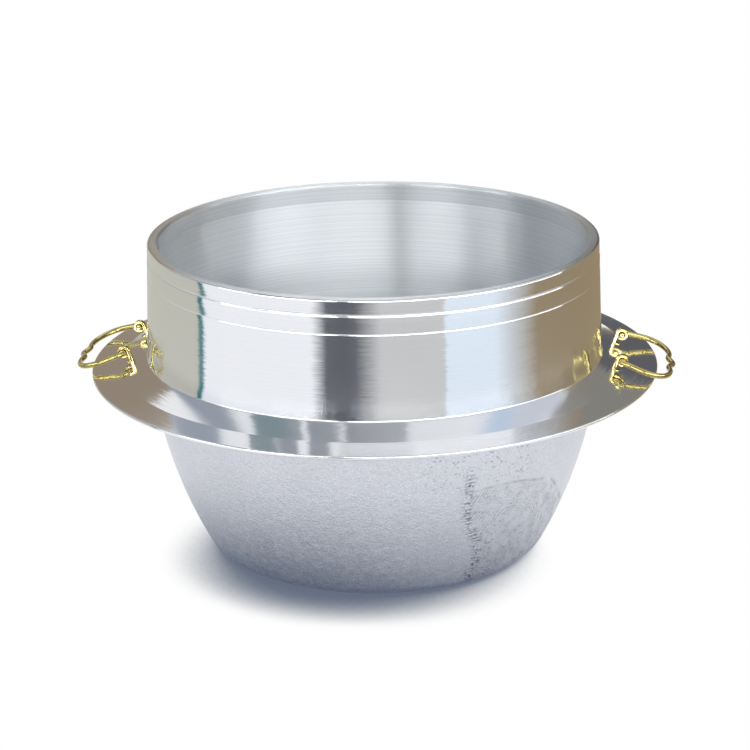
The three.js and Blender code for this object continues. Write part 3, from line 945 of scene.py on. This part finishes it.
def pot_runs(shape):
    """The pot's profile as runs of points, each with the number of its finish.

    They go out along the base, up the outside, over the rim and down the inside. Each starts where the last
    one ended.
    """
    sizes = shape.sizes
    down = -math.pi / 2
    crease_under = at(shape.crease.x, shape.crease.y - sizes.flange_thickness)
    edge_under = at(shape.edge.x, shape.edge.y - sizes.flange_edge)
    rim_outer = shape.collar(0)
    rim_inner = rim_outer - at(sizes.lip_thickness, 0)
    lip_foot = shape.collar(sizes.lip_depth) - at(sizes.wall, 0)
    inner_root = at(shape.root.x - sizes.wall, shape.root.y)
    rows = round((shape.bowl_top.y - shape.corner.y) / BOWL_ROW)
    side = shape.bowl(0, rows)
    inner_side = shape.bowl(sizes.wall, INSIDE_ROWS)[::-1]
    slope = sizes.bowl_foot_slope
    inner_corner = arc(shape.corner, sizes.base_corner - sizes.wall, -slope, down, INSIDE_STEPS)
    under = fillet(side[-UNDER_ROWS], shape.bowl_top, crease_under, sizes.flange_under_fillet, INSIDE_STEPS)
    grooves = [
        *shape.groove(sizes.fine_groove_drop, sizes.fine_groove_width, sizes.fine_groove_depth),
        *shape.groove(sizes.groove_drop, sizes.groove_width, sizes.groove_depth),
    ]
    foot = spaced(arc(shape.corner, sizes.base_corner, down, -slope, CORNER_STEPS), BOWL_ROW)
    below_fillet = [p for p in side[1:] if p.y < under[0].y - BOWL_ROW / 2]
    edge_low = fillet(crease_under, edge_under, shape.edge, sizes.flange_edge_round)
    edge_high = fillet(edge_under, shape.edge, shape.crease, sizes.flange_edge_round)
    root_round = fillet(shape.crease, shape.root, rim_outer, sizes.flange_top_fillet)
    crease_round = fillet(shape.edge, shape.crease, shape.root, sizes.crease_round, CREASE_STEPS)
    rim_round = fillet(shape.root, rim_outer, rim_inner, sizes.lip_round)
    lip_round = fillet(rim_outer, rim_inner, lip_foot, sizes.lip_round)
    lip_step = fillet(rim_inner, lip_foot, inner_root, sizes.lip_step_round)
    return [
        (CAST, spaced([at(0, 0), foot[0]], PLAIN_ROW)),
        (CAST, [*foot, *below_fillet, *under]),
        (CAST, spaced([under[-1], crease_under, edge_low[0]], PLAIN_ROW)),
        (FLANGE, [*edge_low, *edge_high]),
        (FLANGE, spaced([edge_high[-1], *crease_round, root_round[0]], PLAIN_ROW)),
        (FLANGE, root_round),
        (COLLAR, spaced([root_round[-1], *grooves, rim_round[0]], PLAIN_ROW)),
        (COLLAR, rim_round),
        (FLOOR, [rim_round[-1], lip_round[0]]),
        (INSIDE, lip_round),
        (INSIDE, spaced([lip_round[-1], *lip_step, inner_root, *inner_side], PLAIN_ROW)),
        (FLOOR, [inner_side[-1], *inner_corner[1:]]),
        (FLOOR, spaced([inner_corner[-1], at(0, sizes.wall)], PLAIN_ROW)),
    ]


def add_pot(settings):
    """The pot, with its casting marks and the lugs' holes."""
    shape = PotShape(settings.pot)
    finishes = settings.finishes
    profile, slots = [], []
    for slot, points in pot_runs(shape):
        if profile and (profile[-1] - points[0]).length < TINY:
            points = points[1:]
        profile += points
        slots += [slot] * len(points)
    marked_top = shape.bowl_top.y - settings.pot.flange_under_fillet * 2

    def marked(point, azimuth, row):
        """A point of the bowl's side moved by the casting's marks, with the painted shade of their hollows.
        """
        if slots[row] != CAST or not SMOOTH_FOOT < point.y < marked_top:
            return point, 0.0
        signed = math.remainder(azimuth, 2 * math.pi)
        relief, dark = casting_skin(point.x, signed, point.y)
        along = (profile[row + 1] - profile[row - 1]).normalized()
        return point + at(along.y, -along.x) * relief, dark

    mesh = bmesh.new()
    noise.seed_set(MARKS_SEED)
    turned(mesh, profile, columns(), slots=slots[1:], place=marked)
    bright, smooth = finishes.turned, finishes.turned_roughness
    inside, brushed = finishes.inside, finishes.inside_roughness
    pot = piece("pot", mesh, [
        cast_metal(finishes),
        turned_metal("turned_collar", bright, smooth, FINE_LINES, spin=1.0, shade=0.98, upright=True),
        turned_metal("turned_flange", bright, smooth * 1.2, FINE_LINES, spin=0.8, shade=0.97),
        turned_metal("brushed_inside", inside, brushed, COARSE_LINES, spin=1.0, shade=0.88, upright=True),
        turned_metal("brushed_floor", inside, brushed, COARSE_LINES, spin=0.9, shade=0.88),
    ])
    holes = shank_holes(settings.lugs, settings.pot, shape)
    cut = pot.modifiers.new("Shank Holes", "BOOLEAN")
    cut.operation = "DIFFERENCE"
    cut.solver = "MANIFOLD"
    cut.object = holes
    settle(pot)
    bpy.data.objects.remove(holes)
    weigh_normals(pot)
    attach(pot, "pot")
    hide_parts("pot_body")


def spot(x, y):
    """A point in a bail's plane, X away from the pot and Y along the axis of the eyes."""
    return Vector((x, y, 0))


def bail_path(bails, lugs):
    """The wire's path in the bail's plane, from end to end."""
    out, outward, inward = spot(1, 0), spot(0, 1), spot(0, -1)
    elbow = lugs.offset + lugs.eye_width / 2 + bails.elbow_gap
    bend = elbow + bails.elbow_radius
    stations = [
        (spot(0, lugs.offset - lugs.eye_width / 2 - bails.pivot_proud), outward),
        (spot(0, elbow), outward),
        (spot(bails.elbow_radius, bend), out),
        (spot(bails.leg_length, bend + bails.leg_flare), out),
        (spot(bails.bar_reach, bails.bar_end), inward),
        (spot(bails.bar_reach - bails.dip_depth, bails.dip_end), inward),
        (spot(bails.bar_reach + bails.point_rise, 0), inward),
    ]
    half = [stations[0][0]]
    for (start, start_aim), (end, end_aim) in zip(stations, stations[1:]):
        controls = (start, *pulls(start, start_aim, end, end_aim), end)
        steps = max(WIRE_LEAST, round((end - start).length / WIRE_ROW))
        half += [cubic(*controls, i / steps) for i in range(1, steps + 1)]
    return half + [spot(p.x, -p.y) for p in half[-2::-1]]


def add_bails(settings):
    """Both bails, each on its own body."""
    bails, lugs, finishes = settings.bails, settings.lugs, settings.finishes
    brass = brass_metal("polished_brass", finishes.brass, finishes.brass_roughness)
    path = bail_path(bails, lugs)
    for side in SIDES:
        mesh = bmesh.new()
        swept(mesh, path, bails.wire_radius, WIRE_SIDES, Vector((0, 0, 1)))
        on_right = Matrix.Translation(PIVOT) @ Matrix.Rotation(bails.droop, 4, "Y")
        mesh.transform(half_turn(side) @ on_right)
        bail = piece(f"{side}_bail", mesh, [brass])
        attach(bail, f"bail_{side}")
        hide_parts(f"bail_{side}")


def strap_section(thickness, width, rounding):
    """Points of a strap's rounded section: out from its inner face, and along its width."""
    corners = [at(thickness, width / 2), at(0, width / 2), at(0, -width / 2), at(thickness, -width / 2)]
    points = []
    for i, corner in enumerate(corners):
        points += fillet(corners[i - 1], corner, corners[(i + 1) % len(corners)], rounding, STRAP_STEPS)
    return points


def strap(mesh, inner, first, last, width, rounding):
    """Add a strap to a bmesh. Its inner face follows a path of X and Z, and it thins from first to last."""
    rows = []
    for i, (point, along) in enumerate(zip(inner, directions(inner))):
        side = at(-along.y, along.x)
        rows.append([])
        for corner in strap_section(first + (last - first) * i / len(inner), width, rounding):
            across = point + side * corner.x
            rows[-1].append(mesh.verts.new((across.x, corner.y, across.y)))
    skin(mesh, rows)


def lug_mesh(sizes, pot, shape, wire_radius):
    """One lug in its own axes: a turned foot, shank and peened end, and a strap that curls over the wire."""
    heights = LugHeights(sizes, pot, shape)
    foot_rim = at(sizes.foot_radius, heights.foot_top)
    foot_low = at(sizes.foot_radius, heights.foot)
    foot_middle = at(0, heights.foot_top)
    dome = (sizes.peen_radius**2 + sizes.peen_height**2) / (2 * sizes.peen_height)
    dome_edge = -math.acos(sizes.peen_radius / dome)
    stem = [
        at(0, heights.peen_bottom),
        *arc(at(0, heights.peen_bottom + dome), dome, -math.pi / 2, dome_edge)[1:],
        at(sizes.shank_radius, heights.peen_top),
        at(sizes.shank_radius, heights.foot),
        foot_low,
        *fillet(foot_low, foot_rim, foot_middle, sizes.foot_round),
        foot_middle,
    ]
    bore = wire_radius + sizes.fit_gap
    eye = at(sizes.eye_shift, sizes.eye_height)
    inner = [at(eye.x - bore, heights.foot), *arc(eye, bore, math.pi, -sizes.eye_open, EYE_STEPS)]
    inner = spaced(inner, STRAP_ROW)
    mesh = bmesh.new()
    strap(mesh, inner, sizes.strap_thickness, sizes.eye_radius - bore, sizes.eye_width, sizes.strap_round)
    turned(mesh, stem, even(SMALL_SIDES))
    return mesh


def add_lugs(settings):
    """The four lugs, each in one with the strap that curls over the wire."""
    shape = PotShape(settings.pot)
    finishes = settings.finishes
    wire = settings.bails.wire_radius
    brass = brass_metal("lug_brass", finishes.brass, finishes.brass_roughness)
    for side, place, seat in lug_places(settings.lugs, shape):
        lug = piece(f"{side}_{place}_lug", lug_mesh(settings.lugs, settings.pot, shape, wire), [brass])
        joined = lug.modifiers.new("Join", "REMESH")
        joined.mode = "VOXEL"
        joined.voxel_size = LUG_VOXEL
        joined.use_smooth_shade = True
        eased = lug.modifiers.new("Ease", "SMOOTH")
        eased.iterations = LUG_SMOOTHING
        settle(lug)
        lug.data.transform(seat)
        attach(lug, "pot")
        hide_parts(f"lug_{side}_{place}")


def add_washers(settings):
    """The four washers under the flange."""
    shape = PotShape(settings.pot)
    sizes = settings.lugs
    heights = LugHeights(sizes, settings.pot, shape)
    brass = brass_metal("washer_brass", settings.finishes.dull_brass, WASHER_ROUGHNESS)
    bottom = at(heights.bore, heights.washer_bottom)
    low = at(sizes.washer_radius, heights.washer_bottom)
    high = at(sizes.washer_radius, heights.washer_top)
    top = at(heights.bore, heights.washer_top)
    profile = [
        bottom,
        *fillet(bottom, low, high, sizes.washer_round),
        *fillet(low, high, top, sizes.washer_round),
        top,
    ]
    for side, place, seat in lug_places(sizes, shape):
        mesh = bmesh.new()
        turned(mesh, profile, even(SMALL_SIDES), closed=True)
        mesh.transform(seat)
        washer = piece(f"{side}_{place}_washer", mesh, [brass])
        weigh_normals(washer)
        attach(washer, "pot")
        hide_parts(f"washer_{side}_{place}")


# Stage


def add_camera(stage):
    """The camera, at its place around the pot, looking down and leaning a little."""
    data = bpy.data.cameras.new("Camera")
    data.lens = stage.lens
    data.sensor_width = SENSOR_WIDTH
    camera = bpy.data.objects.new("Camera", data)
    bpy.context.scene.collection.objects.link(camera)
    forward = Vector((0, math.cos(stage.pitch), -math.sin(stage.pitch)))
    right = Vector((1, 0, 0))
    up = right.cross(forward)
    leaned_right = right * math.cos(stage.roll) + up * math.sin(stage.roll)
    leaned_up = up * math.cos(stage.roll) - right * math.sin(stage.roll)
    axes = Matrix((leaned_right, leaned_up, -forward)).transposed().to_4x4()
    standing = Matrix.Translation((0, -stage.distance, stage.height)) @ axes
    camera.matrix_world = Matrix.Rotation(stage.azimuth, 4, "Z") @ standing
    bpy.context.scene.camera = camera


def bare_material(name):
    """A node material with nothing but its output, its tree and the output's surface."""
    material = bpy.data.materials.new(name)
    material.use_nodes = True
    tree = material.node_tree
    tree.nodes.clear()
    return material, tree, tree.nodes.new("ShaderNodeOutputMaterial").inputs["Surface"]


def glowing(name):
    """A material that only glows, its tree and its emission node."""
    material, tree, surface = bare_material(name)
    glow = tree.nodes.new("ShaderNodeEmission")
    tree.links.new(glow.outputs[0], surface)
    return material, tree, glow


def add_unseen(name, mesh, material):
    """A piece of the stage that the metal mirrors and the camera doesn't see."""
    made = piece(name, mesh, [material])
    made.visible_camera = False


def shaded_white(tree, reach, lean, low, high):
    """White with the close shade of what stands within reach, on the side of the light's lean."""
    contact = tree.nodes.new("ShaderNodeAmbientOcclusion")
    contact.inputs["Distance"].default_value = reach
    contact.samples = SHADE_SAMPLES
    tilt = tree.nodes.new("ShaderNodeCombineXYZ")
    for socket, value in zip(tilt.inputs, lean.normalized()):
        socket.default_value = value
    tree.links.new(tilt.outputs[0], contact.inputs["Normal"])
    near = spread(tree, contact.outputs["AO"], 0, 1, low, high)
    return blend_node(tree, near, CONTACT_SHADE, (1, 1, 1))


def add_floor(stage):
    """A round pale floor. The camera and the metal see it white, with the pot's shade close by."""
    material, tree, surface = bare_material("floor_white")
    diffuse = tree.nodes.new("ShaderNodeBsdfDiffuse")
    diffuse.inputs["Color"].default_value = (*FLOOR_WHITE, 1)
    seen = tree.nodes.new("ShaderNodeEmission")
    rays = tree.nodes.new("ShaderNodeLightPath").outputs
    direct = math_node(tree, "MAXIMUM", rays["Is Camera Ray"], rays["Is Glossy Ray"])
    direct = math_node(tree, "MAXIMUM", direct, rays["Is Transmission Ray"])
    by_camera = shaded_white(tree, stage.contact_reach, CAMERA_LEAN, *CAMERA_SHADE)
    by_metal = shaded_white(tree, stage.mirrored_reach, MIRRORED_LEAN, *MIRRORED_SHADE)
    tree.links.new(blend_node(tree, rays["Is Glossy Ray"], by_camera, by_metal), seen.inputs["Color"])
    either = tree.nodes.new("ShaderNodeMixShader")
    tree.links.new(direct, either.inputs["Fac"])
    tree.links.new(diffuse.outputs[0], either.inputs[1])
    tree.links.new(seen.outputs[0], either.inputs[2])
    tree.links.new(either.outputs[0], surface)
    mesh = bmesh.new()
    bmesh.ops.create_circle(mesh, cap_ends=True, segments=DISC_SIDES, radius=stage.floor_radius)
    floor = piece("floor", mesh, [material])


def flat_height(stage, elevation):
    """Height of a place on the flats, from its elevation in degrees above the pot's middle."""
    return POT_HIGH.z / 2 + stage.flat_distance * math.tan(math.radians(elevation))


def add_flat(stage, name, start, end, low, high, left, right, start_lean=0, end_lean=0):
    """One upright studio flat, bent around the pot, whose edges may lean by some degrees at their top."""
    mesh = bmesh.new()
    across = mesh.verts.layers.float.new(ACROSS)
    steps = max(1, math.ceil(math.radians(end - start) / PANEL_COLUMN))
    uprights = []
    for i in range(steps + 1):
        pair = []
        for elevation, first, last in ((low, start, end), (high, start + start_lean, end + end_lean)):
            azimuth = math.radians(first + (last - first) * i / steps) + stage.azimuth
            place = around(stage.flat_distance, azimuth, flat_height(stage, elevation))
            pair.append(mesh.verts.new(place))
            pair[-1][across] = i / steps
        uprights.append(pair)
    for (a, b), (c, d) in zip(uprights, uprights[1:]):
        mesh.faces.new((a, c, d, b))
    material, tree, glow = glowing(name)
    tree.links.new(blend_node(tree, attribute_node(tree, ACROSS), left, right), glow.inputs["Color"])
    add_unseen(name, mesh, material)


def add_roof(stage):
    """A round grey roof on top of the flats, for the flange to mirror when it is seen from above."""
    material, _, glow = glowing("roof")
    glow.inputs["Color"].default_value = (*ROOF_GREY, 1)
    mesh = bmesh.new()
    bmesh.ops.create_circle(mesh, cap_ends=True, segments=DISC_SIDES, radius=stage.flat_distance)
    mesh.transform(Matrix.Translation((0, 0, flat_height(stage, TOP))))
    add_unseen("roof", mesh, material)


def add_world():
    """Plain white surroundings, seen alike by the camera and the metal."""
    world = bpy.data.worlds.new("Studio")
    bpy.context.scene.world = world
    world.use_nodes = True
    background = world.node_tree.nodes["Background"]
    background.inputs["Color"].default_value = (1, 1, 1, 1)
    background.inputs["Strength"].default_value = 1


def add_lamp(stage, name, azimuth, width, brightness):
    """One soft lamp, turned towards the pot. Its brightness is what a mirror would show of it."""
    data = bpy.data.lights.new(name, "AREA")
    data.shape = "RECTANGLE"
    data.size = width
    data.size_y = LAMP_HEIGHT
    data.energy = brightness * math.pi * width * LAMP_HEIGHT
    lamp = bpy.data.objects.new(name, data)
    bpy.context.scene.collection.objects.link(lamp)
    round_pot = Matrix.Rotation(stage.azimuth + math.radians(azimuth), 4, "Z")
    place = round_pot @ Matrix.Rotation(-LAMP_ELEVATION, 4, "X") @ Vector((0, -LAMP_DISTANCE, 0))
    lamp.location = place
    lamp.rotation_mode = "QUATERNION"
    lamp.rotation_quaternion = (-place).to_track_quat("-Z", "Y")


def add_stage(settings):
    """The camera, the floor and the light."""
    stage = settings.stage
    bpy.context.scene.view_settings.view_transform = "Standard"
    add_camera(stage)
    add_floor(stage)
    add_world()
    for flat in FLATS:
        add_flat(stage, *flat)
    add_roof(stage)
    for lamp in LAMPS:
        add_lamp(stage, *lamp)


# Add-on classes


class RicePotSettings(bpy.types.PropertyGroup):
    """All settings of the rice pot."""

    pot: bpy.props.PointerProperty(type=PotSizes, name="Pot", description="Sizes of the pot")
    lugs: bpy.props.PointerProperty(type=LugSizes, name="Lugs", description="Sizes of the lugs and washers")
    bails: bpy.props.PointerProperty(type=BailSizes, name="Bails", description="Sizes of the bails")
    finishes: bpy.props.PointerProperty(type=Finishes, name="Finishes", description="Colours of the metals")
    stage: bpy.props.PointerProperty(type=StageSettings, name="Stage", description="Camera, floor and light")


class RICEPOT_OT_add_pot(bpy.types.Operator):
    """Add the cast and turned aluminium pot"""

    bl_idname = "rice_pot.add_pot"
    bl_label = "Add Pot"

    def execute(self, context):
        add_pot(context.scene.rice_pot)
        return {"FINISHED"}


class RICEPOT_OT_add_bails(bpy.types.Operator):
    """Add the two brass wire bails"""

    bl_idname = "rice_pot.add_bails"
    bl_label = "Add Bails"

    def execute(self, context):
        add_bails(context.scene.rice_pot)
        return {"FINISHED"}


class RICEPOT_OT_add_lugs(bpy.types.Operator):
    """Add the four brass lugs that hold the bails"""

    bl_idname = "rice_pot.add_lugs"
    bl_label = "Add Lugs"

    def execute(self, context):
        add_lugs(context.scene.rice_pot)
        return {"FINISHED"}


class RICEPOT_OT_add_washers(bpy.types.Operator):
    """Add the four washers under the flange"""

    bl_idname = "rice_pot.add_washers"
    bl_label = "Add Washers"

    def execute(self, context):
        add_washers(context.scene.rice_pot)
        return {"FINISHED"}


class RICEPOT_OT_add_stage(bpy.types.Operator):
    """Add the camera, the floor and the studio light"""

    bl_idname = "rice_pot.add_stage"
    bl_label = "Add Stage"

    def execute(self, context):
        add_stage(context.scene.rice_pot)
        return {"FINISHED"}


class RICEPOT_PT_panel(bpy.types.Panel):
    """Settings and buttons of the rice pot"""

    bl_idname = "RICEPOT_PT_panel"
    bl_label = "Rice Pot"
    bl_space_type = "VIEW_3D"
    bl_region_type = "UI"
    bl_category = "Rice Pot"

    def draw(self, context):
        settings = context.scene.rice_pot
        for group, buttons in PANEL_ROWS:
            box = self.layout.box()
            values = getattr(settings, group)
            for name in values.__annotations__:
                box.prop(values, name)
            for button in buttons:
                box.operator(button.bl_idname)


PANEL_ROWS = (
    ("finishes", ()),
    ("pot", (RICEPOT_OT_add_pot,)),
    ("bails", (RICEPOT_OT_add_bails,)),
    ("lugs", (RICEPOT_OT_add_lugs, RICEPOT_OT_add_washers)),
    ("stage", (RICEPOT_OT_add_stage,)),
)

CLASSES = (
    PotSizes,
    LugSizes,
    BailSizes,
    Finishes,
    StageSettings,
    RicePotSettings,
    RICEPOT_OT_add_pot,
    RICEPOT_OT_add_bails,
    RICEPOT_OT_add_lugs,
    RICEPOT_OT_add_washers,
    RICEPOT_OT_add_stage,
    RICEPOT_PT_panel,
)


def register():
    """Register the classes and the scene's settings."""
    for cls in CLASSES:
        bpy.utils.register_class(cls)
    bpy.types.Scene.rice_pot = bpy.props.PointerProperty(type=RicePotSettings)


def unregister():
    """Take the settings and the classes away again."""
    del bpy.types.Scene.rice_pot
    for cls in reversed(CLASSES):
        bpy.utils.unregister_class(cls)


def main():
    """Build the pot and its stage."""
    register()
    bpy.ops.rice_pot.add_pot()
    bpy.ops.rice_pot.add_bails()
    bpy.ops.rice_pot.add_lugs()
    bpy.ops.rice_pot.add_washers()
    bpy.ops.rice_pot.add_stage()


if __name__ == "__main__":
    main()
